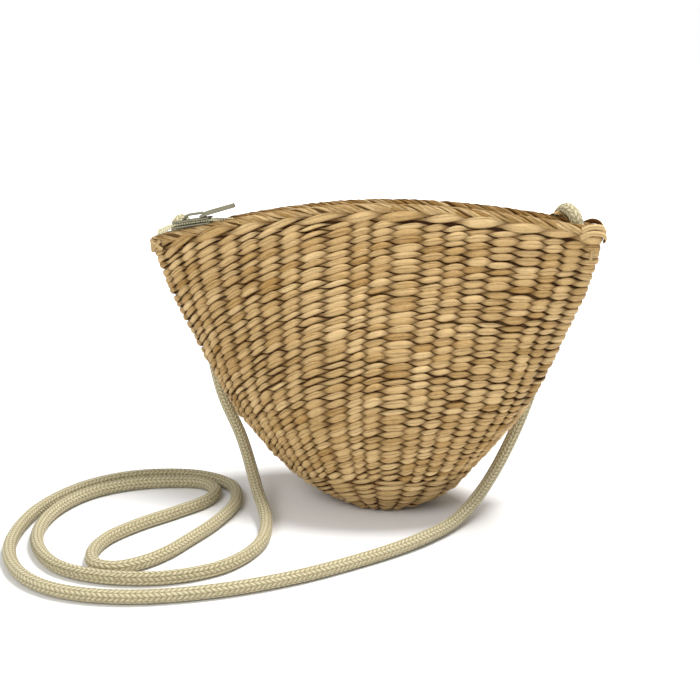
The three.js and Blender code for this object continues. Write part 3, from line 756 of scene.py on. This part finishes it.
class BASKET_OT_weave(bpy.types.Operator):
    """Twines the basket's rows of straw over its stakes"""

    bl_idname = "basket.weave"
    bl_label = "Weave"

    def execute(self, context):
        s = sizes()
        straw = straw_finish("straw")
        rng = np.random.default_rng(21)
        bands = {}
        for row in range(s.rows):
            share = ROWS_TOP * (row + 0.5) / s.rows
            lines = row_strands(rng, share, stakes_at(share), s.strand_height)
            bands.setdefault(band_at(share), []).extend(lines)
        bands["weave_top"] = row_strands(rng, 0.998, 24, 1.4 * s.strand_height, 1.3)
        for n, (band, lines) in enumerate(sorted(bands.items())):
            replaced = ["basket_base", "basket_front", "basket_back"] if n == 0 else []
            finished(strands(band, lines, 8, 1.8), straw, "bag", "straw", *replaced)
        self.stakes(straw)
        self.backing()
        return {"FINISHED"}

    def stakes(self, straw):
        """The upright stakes, seen between the rows."""
        rng = np.random.default_rng(5)
        steps = 40
        lines = []
        for stake in range(STAKES):
            turn = (stake - sway(np.array([stake / STAKES]))[0]) / STAKES
            share = np.linspace(0.06, 0.99, steps + 1)
            turns = np.full(steps + 1, turn)
            point, out, _, way = surface(turns, wall_top(turns) * share)
            half = np.full(steps + 1, sizes().stake_width / 2) * np.clip(share / BASE_TOP, 0.3, 1)
            half[[0, -1]] = 0
            lines.append({
                "points": point - out * STAKE_DEPTH, "side": way,
                "out": -np.cross(unit(np.gradient(point, axis=0)), -way),
                "wide": half, "thick": np.where(half > 0, 0.45 * MM, 0),
                # deep 0.5 paints shade over the whole stake, which shows only between the rows
                "tint": 0.3 + 0.3 * rng.random(), "seed": rng.random(), "deep": 0.5,
            })
        finished(strands("stakes", lines, 6), straw, "bag", "straw")

    def backing(self):
        """The inner face of the wall, a closed skin behind the strands, darkened all over with painted shade.
        """
        template, along, around = grid(120, 40)
        turn = along / 120
        share = around / 40
        point, out, _, _ = surface(turn, np.minimum(wall_top(turn) * share * 1.012, 1))
        flat = share == 0
        out[flat] = (0, 0, -1)
        shape = point - out * BACKING_DEPTH
        # Painted shade: deep 0.9 here, and the inner straw's colours darkened to 0.45 below
        plain = {"tint": 0.3, "seed": 0.0, "deep": 0.9}
        values = {key: [np.full(len(turn), value)] for key, value in plain.items()}
        skin = copies("inner_face", template, [shape], values)
        thickened(skin, 0.5 * MM, -1)
        finished(skin, straw_finish("painted_shade_inner_straw", 0.45, 0.8), "bag", "straw")


class BASKET_OT_border(bpy.types.Operator):
    """Plaits the border round the mouth"""

    bl_idname = "basket.border"
    bl_label = "Border"

    def execute(self, context):
        rng = np.random.default_rng(3)
        turn = np.linspace(0, 1, 2001)
        rim = basket_point(turn, 1.0)
        run = np.concatenate([[0], np.cumsum(np.linalg.norm(np.diff(rim, axis=0), axis=1))])
        steps = 420
        even = np.linspace(0, run[-1], steps + 1)
        turn = np.interp(even, run, turn)
        rim = basket_point(turn, 1.0)
        way = unit(basket_point(turn + 0.002, 1.0) - basket_point(turn - 0.002, 1.0))
        out = unit(np.cross(way, (0, 0, 1.0)))
        up = np.cross(out, way)
        middle = rim - out * (WALL / 2) - up * (BORDER_HEIGHT / 2)
        count, turns = 4, round(run[-1] / sizes().plait_pitch)
        half_high, half_deep = BORDER_HEIGHT / 2, WALL / 2 + BORDER_PROUD - 0.25 * MM
        share = even / run[-1]
        # back runs from 0 at the front of the rim to 1 at its back, where painted shade darkens the border
        back = np.clip(rim[:, 1] / (3 * MM), 0, 1)
        # The core under the plait: low tint and deep paint shade into the gaps between its strands
        lines = [{
            **on_mouth(middle, up, out),
            "wide": half_high - 0.2 * MM, "thick": half_deep - 0.3 * MM,
            "tint": 0.2, "seed": 0.5, "deep": 0.85,
        }]
        for n in range(count):
            angle = -2 * math.pi * (turns * share + n / count) + waves(rng, share, 12, 0.25)
            pick = np.floor(2 * turns * share + 2 * n / count).astype(int) % (2 * turns)
            for layer in (-1, 1):
                place = angle + 0.34 * layer + waves(rng, share, 40, 0.10)
                lift = 0.12 * MM * layer * np.cos(4 * math.pi * share * turns)
                high, deep = np.sin(place), np.cos(place)
                point = middle + up * ((half_high + lift) * high)[:, None]
                point = point + out * ((half_deep + lift) * deep)[:, None]
                flat = unit(up * (high / half_high)[:, None] + out * (deep / half_deep)[:, None])
                ahead = unit(np.gradient(point, axis=0))
                side = unit(np.cross(flat, ahead))
                face = np.cross(ahead, side)
                # shade is each strand's random tone, lowered on the back of the rim as painted shade
                shade = 0.48 + 0.26 * rng.normal(size=2 * turns)[pick] - 0.3 * back
                leaf = np.abs(deep) ** 0.8
                lines.append({
                    **on_mouth(point, side, face),
                    "wide": 0.92 * MM * (0.3 + 0.7 * leaf) * (1 + waves(rng, share, 30, 0.16)),
                    "thick": 0.7 * MM, "tint": np.clip(shade, 0, 1), "seed": rng.random(2 * turns)[pick],
                    # deep paints shade where a strand turns over the border's top and bottom, and more on the
                    # back
                    "deep": 0.5 - 0.45 * leaf + 0.15 * back,
                })
        straw = straw_finish("border_straw")
        border = strands("border_plait", lines)
        finished(border, straw, "bag", "straw_border", "rim_border")
        finished(strands("border_ends", self.ends(rng), 6), straw, "bag", "straw_border")
        return {"FINISHED"}

    def ends(self, rng):
        """Loose ends tucked in at the corners: the left one folded round, the right one curled up."""
        # Half-width of each end, and the points it runs through, in millimetres of the unleaned mouth
        routes = (
            (3.4, ((-123, 5.2, 152.5), (-128.5, 4.2, 151.8), (-131.0, 0, 151.5),
                   (-128.8, -4.4, 151.5), (-122, -7.0, 153.5))),
            (1.1, ((-129, -5.6, 149.5), (-126.5, -7.2, 151.5), (-124, -8.1, 153.8), (-121.5, -8.6, 156.4))),
            (1.0, ((-128.5, -5.8, 155.4), (-126, -7.4, 154.2), (-123, -8.3, 152.4), (-120.5, -8.3, 150.6))),
            (1.8, ((119, -7.4, 156.5), (124, -6.2, 158.2), (129.6, -3.4, 157.4),
                   (130.8, 0.0, 154.5), (128.5, 2.0, 152.5))),
            (1.6, ((118, -7.6, 152.8), (124, -6.9, 155), (129.8, -4.4, 154),
                   (131.4, -1.0, 151), (129.5, 0.8, 149))),
            (1.5, ((119, 6.6, 158.5), (124, 5.6, 160), (128.6, 2.6, 158.6),
                   (130.2, 0.0, 155.5), (128.4, -1.0, 153.5))),
            (1.6, ((99, 8.6, 161), (103, 8.0, 164), (107.5, 5.6, 164.6), (112, 3.4, 161))),
            (0.9, ((124.6, -5.6, 146), (124.2, -6.0, 143.2), (123.4, -6.2, 140.2))),
        )
        lines = []
        for half, route in routes:
            point = smooth_line(route, 28)
            centre = np.array([math.copysign(HALF_LENGTH - 9 * MM, point[0, 0]), 0, 0])
            face = (point - centre) * (1, 1, 0)
            ahead = unit(np.gradient(point, axis=0))
            side = unit(np.cross(face, ahead))
            face = np.cross(ahead, side)
            size = np.full(len(point), MM)
            size[[0, -1]] = 0
            point[0], point[-1] = point[1], point[-2]
            lines.append({
                **on_mouth(point, side, face),
                "wide": half * size, "thick": 0.5 * size,
                "tint": 0.6 + 0.12 * rng.normal(), "seed": rng.random(), "deep": 0.05,
            })
        return lines


def on_mouth(points, side, out):
    """A line's places and directions, turned with the leaning mouth."""
    base = np.array([BASE_X, 0, 0])
    return {"points": leaned(points), "side": leaned(side) - base, "out": leaned(out) - base}


# Zip

TOOTH_TWIST = math.radians(50)  # turn of the teeth left of the slider


def slider_matrix():
    """From the slider's own frame, X along the chain and Z off its upper plate, to the bag's."""
    reach = SLIDER_LENGTH / 2
    rise = float(chain_point(SLIDER_X + reach)[2] - chain_point(SLIDER_X - reach)[2])
    place = Matrix.Translation(Vector(chain_point(SLIDER_X)))
    place = place @ Matrix.Rotation(-math.atan2(rise, SLIDER_LENGTH), 4, "Y")
    return Matrix.Translation((BASE_X, 0, 0)) @ Matrix.Rotation(-LEAN, 4, "Y") @ place


def pull_matrix():
    return slider_matrix() @ Matrix.Translation((HINGE_X, 0, HINGE_Z)) @ Matrix.Rotation(-PULL_ANGLE, 4, "Y")


def bevelled(made, width, segments=2, edges=None):
    bmesh.ops.bevel(made, geom=edges or made.edges[:], offset=width, offset_type="OFFSET", segments=segments,
                    profile=0.5, affect="EDGES", material=-1, clamp_overlap=True)


def plate(outline, low, high):
    """A plate with a drawn outline, extruded between two heights."""
    made = bmesh.new()
    face = made.faces.new([made.verts.new((x, y, low)) for x, y in outline])
    up = bmesh.ops.extrude_face_region(made, geom=[face])["geom"]
    raised = [v for v in up if isinstance(v, bmesh.types.BMVert)]
    bmesh.ops.translate(made, verts=raised, vec=(0, 0, high - low))
    bmesh.ops.recalc_face_normals(made, faces=made.faces)
    return made


def slab(outline, low, high, edge):
    """A plate with rounded edges."""
    made = plate(outline, low, high)
    bevelled(made, edge)
    return made


def joined(name, parts, matrix, smooth=True):
    """One object of several bmesh parts, placed by a matrix."""
    mesh = bpy.data.meshes.new(name)
    whole = bmesh.new()
    for part in parts:
        part.to_mesh(mesh)
        whole.from_mesh(mesh)
        part.free()
    bmesh.ops.transform(whole, matrix=matrix, verts=whole.verts)
    whole.to_mesh(mesh)
    whole.free()
    mesh.polygons.foreach_set("use_smooth", [smooth] * len(mesh.polygons))
    return linked(name, mesh)


def strip(points, half_wide, half_thick, sides=12, power=5.0):
    """A bent metal strip along points in the XZ plane, with flat ends."""
    points = np.array([points[0], *points, points[-1]], float)
    ahead = unit(np.gradient(points, axis=0))
    ahead[0], ahead[-1] = ahead[1], ahead[-2]
    side = np.tile((0, 1.0, 0), (len(points), 1))
    out = np.cross(ahead, side)
    template, along, around = grid(len(points) - 1, sides)
    wide, thick = section(around, sides, power)
    size = np.ones(len(points))
    size[[0, -1]] = 0
    shape = points[along] + side[along] * (wide * half_wide * size[along])[:, None]
    shape = shape + out[along] * (thick * half_thick * size[along])[:, None]
    template.vertices.foreach_set("co", shape.ravel())
    made = bmesh.new()
    made.from_mesh(template)
    bmesh.ops.remove_doubles(made, verts=made.verts, dist=1e-6)
    bmesh.ops.recalc_face_normals(made, faces=made.faces)
    return made


class BASKET_OT_zip(bpy.types.Operator):
    """Fits the zip's teeth and its two woven tapes"""

    bl_idname = "basket.zip"
    bl_label = "Zip"

    def execute(self, context):
        tooth = bmesh.new()
        bmesh.ops.create_cube(tooth, size=1.0)
        bmesh.ops.scale(tooth, vec=(1.25 * MM, 2.5 * MM, CHAIN_THICK), verts=tooth.verts)
        bevelled(tooth, 0.3 * MM, 1)
        template = mesh_of(tooth, "tooth")
        shape = np.array([v.co for v in template.vertices])
        count = int((ZIP_RIGHT - ZIP_LEFT - 2 * MM) / sizes().tooth_pitch)
        shapes = []
        for n in range(count):
            x = ZIP_LEFT + 1 * MM + n * sizes().tooth_pitch
            middle = chain_point(x)
            turn = float(np.clip((SLIDER_X - SLIDER_LENGTH / 2 + 1 * MM - x) / (4 * MM), 0, 1))
            twist = np.array(Matrix.Rotation(-TOOTH_TWIST * turn, 3, "X"))
            for sign in (-1, 1):
                shift = np.array([0, sign * (CHAIN_WIDTH / 2 - 1.25 * MM), 0])
                shapes.append(leaned(middle - (0, 0, 0.5 * MM * turn) + (shift + shape) @ twist))
        chain = copies("zip_teeth", template, shapes, smooth=False, merge=0)
        finished(chain, nylon_finish(), "bag", "zip_teeth", "zip_chain")
        cloth = cloth_finish()
        # The front tape's left end is 4 mm further in than in the CAD model
        tapes = (("tape_front", -1, FRONT_TAPE_LEFT + 4 * MM), ("tape_back", 1, BACK_TAPE_LEFT))
        for name, sign, left in tapes:
            finished(self.tape(name, sign, left), cloth, "bag", "zip_tape", "zip_" + name)
        return {"FINISHED"}

    def tape(self, name, sign, left):
        """A tape from under the chain to its seam inside the wall."""
        template, along, around = grid(120, 6)
        x = left + (ZIP_RIGHT - left) * along / 120
        middle = chain_point(x)
        lift = np.minimum(between(ZIP_PATH, "share", "lift", x / HALF_LENGTH), 1)
        rim_face = half_depth_at(x, 0) - WALL - BORDER_PROUD - 2 * GAP - TAPE_THICK / 2
        seam_face = half_depth_at(x, TAPE_SEAM) - 1.08 * WALL - GAP - TAPE_THICK / 2
        raised = -rim_face if sign < 0 else -rim_face + TAPE_THICK + GAP
        flat = sign * (GAP + TAPE_THICK)
        under = CHAIN_THICK / 2 + GAP + TAPE_THICK / 2 + lift * (PLATE + GAP)
        inner = np.stack([x, flat + (raised - flat) * lift, middle[:, 2] - under], axis=-1)
        seam_side = sign * (seam_face + (rim_face - seam_face) * lift)
        seam = np.stack([x, seam_side, rim_height(x) - TAPE_SEAM], axis=-1)
        share = (around / 6)[:, None]
        shape = leaned(inner + (seam - inner) * share)
        tape = copies(name, template, [shape], merge=0)
        thickened(tape, 0.8 * TAPE_THICK, 0)
        return tape


class BASKET_OT_slider(bpy.types.Operator):
    """Builds the metal slider with its arched bridge, and the pull that turns on it"""

    bl_idname = "basket.slider"
    bl_label = "Slider and pull"

    def execute(self, context):
        metal = metal_finish()
        channel = CHAIN_THICK / 2 + GAP
        end, half = SLIDER_LENGTH / 2, SLIDER_WIDTH / 2
        edge = 0.25 * MM
        nose = [(-0.35, 1), (-0.5, 0.98), (-0.66, 0.9), (-0.82, 0.76), (-0.94, 0.58), (-1, 0.4)]
        outline = [(end, -0.8 * half), (end, 0.8 * half), (0.94 * end, half)]
        outline += [(end * x, half * y) for x, y in nose] + [(end * x, -half * y) for x, y in reversed(nose)]
        outline += [(0.94 * end, -half)]
        parts = [slab(outline, low, low + PLATE, edge) for low in (-channel - PLATE, channel)]
        wall = half - CHAIN_WIDTH / 2 - GAP
        near, far = -3.6 * MM, 10.7 * MM
        rear = [(near, half - wall), (far, half - wall), (far, half), (near, half)]
        parts.append(slab(rear, -channel - PLATE / 2, channel + PLATE / 2, 0.1 * MM))
        top = HINGE_Z + BRIDGE_CORNER
        right = HINGE_X + BRIDGE_CORNER
        left = right - BRIDGE_LENGTH + BRIDGE_THICK
        foot = UPPER_FACE - PLATE / 2
        turn = np.linspace(0, math.pi / 2, 7)
        arch = [(right, 0, foot)]
        arch += [(right - BRIDGE_CORNER * (1 - math.cos(t)), 0, top - BRIDGE_CORNER * (1 - math.sin(t)))
                 for t in turn]
        fall = np.linspace(0, 1, 9)[1:]
        start = left + 5.0 * MM
        arch += [(start - (start - left) * t, 0, top - (top - foot) * t ** 2.2) for t in [0, *fall]]
        parts.append(strip(arch, BRIDGE_WIDTH / 2, 0.75 * MM))
        finished(joined("slider_body", parts, slider_matrix()), metal, "bag", "zip_metal", "zip_slider")
        self.pull(metal)
        return {"FINISHED"}

    def pull(self, metal):
        """A bar under the bridge, two arms beside it and a plate with a round end and a raised edge."""
        half = PULL_WIDTH / 2
        gap = BRIDGE_WIDTH / 2 + 0.35 * MM
        bar = bmesh.new()
        bmesh.ops.create_cone(bar, cap_ends=True, segments=16, radius1=PULL_THICK / 2, radius2=PULL_THICK / 2,
                              depth=2 * half, matrix=Matrix.Rotation(math.pi / 2, 4, "X"))
        bevelled(bar, 0.12 * MM, 1, [e for e in bar.edges if any(len(f.verts) > 4 for f in e.link_faces)])
        parts = [bar]
        low, high = -PULL_THICK / 2, PULL_THICK / 2
        for sign in (-1, 1):
            near, far = 0.2 * MM, PULL_REACH + 0.5 * MM
            arm = [(near, sign * gap), (far, sign * gap), (far, sign * half * 0.96), (near, sign * half)]
            parts.append(slab(arm if sign > 0 else arm[::-1], low, high, 0.15 * MM))
        turn = np.linspace(-math.pi / 2, math.pi / 2, 13)
        tip = [(PULL_LENGTH - half + 0.8 * half * math.cos(t) * 1.25, 0.8 * half * math.sin(t)) for t in turn]
        blade = [(PULL_REACH, -half * 0.95), *tip, (PULL_REACH, half * 0.95)]
        made = plate(blade, low, low + BLADE_THICK)
        level = [e for e in made.edges if abs(e.verts[0].co.z - e.verts[1].co.z) < 1e-7]
        bevelled(made, 0.18 * MM, 2, level)
        for sign in (-1, 1):
            for width, depth in ((0.75 * MM, 0), (0.15 * MM, -0.22 * MM)):
                level = (f for f in made.faces if f.normal.z * sign > 0.99)
                flat = max(level, key=lambda f: f.calc_area())
                bmesh.ops.inset_region(made, faces=[flat], thickness=width, depth=depth)
        parts.append(made)
        tab = joined("pull_tab", parts, pull_matrix(), smooth=False)
        finished(tab, metal, "pull", "zip_metal", "zip_pull")


class BASKET_OT_stage(bpy.types.Operator):
    """Sets the pale floor and soft studio light"""

    bl_idname = "basket.stage"
    bl_label = "Stage"

    def execute(self, context):
        made = bmesh.new()
        bmesh.ops.create_grid(made, x_segments=1, y_segments=1, size=6.0)
        floor = linked("floor", mesh_of(made, "floor"))
        plain = Finish("studio_floor")
        far = plain.node("ShaderNodeVectorMath", {"operation": "LENGTH"}, output=1, _0=plain.place())
        glow = plain.math("MULTIPLY_ADD", far, 1.2)
        plain.feed(glow.socket.node.inputs[2], -0.5)
        floor.data.materials.append(plain.set(
            Base_Color=colours().floor[:], Roughness=0.9, Specular_IOR_Level=0.1, Emission_Strength=1.0,
            Emission_Color=plain.node("ShaderNodeClamp", Value=glow)))
        world = bpy.data.worlds.new("studio")
        context.scene.world = world
        world.use_nodes = True
        sky = world.node_tree.nodes["Background"]
        ray = world.node_tree.nodes.new("ShaderNodeLightPath")
        level = world.node_tree.nodes.new("ShaderNodeMapRange")
        level.inputs["To Min"].default_value = 0.41
        level.inputs["To Max"].default_value = 1.0
        world.node_tree.links.new(ray.outputs["Is Camera Ray"], level.inputs["Value"])
        world.node_tree.links.new(level.outputs["Result"], sky.inputs["Strength"])
        sky.inputs["Color"].default_value = (1, 1, 1, 1)
        lights = (("key", (0.45, 0.25, 1.5), 0.6, 29.0), ("front", (-0.35, -1.5, 1.25), 1.0, 16.0))
        for name, place, size, watts in lights:
            light = bpy.data.lights.new(name, "AREA")
            light.size = size
            light.energy = watts
            lamp = linked(name, light)
            lamp.location = place
            lamp.rotation_euler = (Vector((0, 0, 0.08)) - Vector(place)).to_track_quat("-Z", "Y").to_euler()
        context.scene.view_settings.view_transform = "Standard"
        return {"FINISHED"}


OPERATORS = (BASKET_OT_camera, BASKET_OT_strap, BASKET_OT_weave, BASKET_OT_border, BASKET_OT_zip,
             BASKET_OT_slider, BASKET_OT_stage)


class BASKET_PT_panel(bpy.types.Panel):
    """Lists the bag's pieces in the order they are made"""

    bl_idname = "BASKET_PT_panel"
    bl_label = "Basket bag"
    bl_space_type = "VIEW_3D"
    bl_region_type = "UI"
    bl_category = "Basket bag"

    def draw(self, context):
        for group in (context.scene.basket_sizes, context.scene.basket_colours):
            for key in group.__annotations__:
                self.layout.prop(group, key)
        for operator in OPERATORS:
            self.layout.operator(operator.bl_idname)


CLASSES = (BasketSizes, BasketColours, *OPERATORS, BASKET_PT_panel)


def register():
    for cls in CLASSES:
        bpy.utils.register_class(cls)
    bpy.types.Scene.basket_sizes = PointerProperty(type=BasketSizes)
    bpy.types.Scene.basket_colours = PointerProperty(type=BasketColours)


def unregister():
    del bpy.types.Scene.basket_colours
    del bpy.types.Scene.basket_sizes
    for cls in reversed(CLASSES):
        bpy.utils.unregister_class(cls)


def main():
    register()
    bpy.ops.basket.camera()
    bpy.ops.basket.strap()
    bpy.ops.basket.weave()
    bpy.ops.basket.border()
    bpy.ops.basket.zip()
    bpy.ops.basket.slider()
    bpy.ops.basket.stage()


if __name__ == "__main__":
    main()
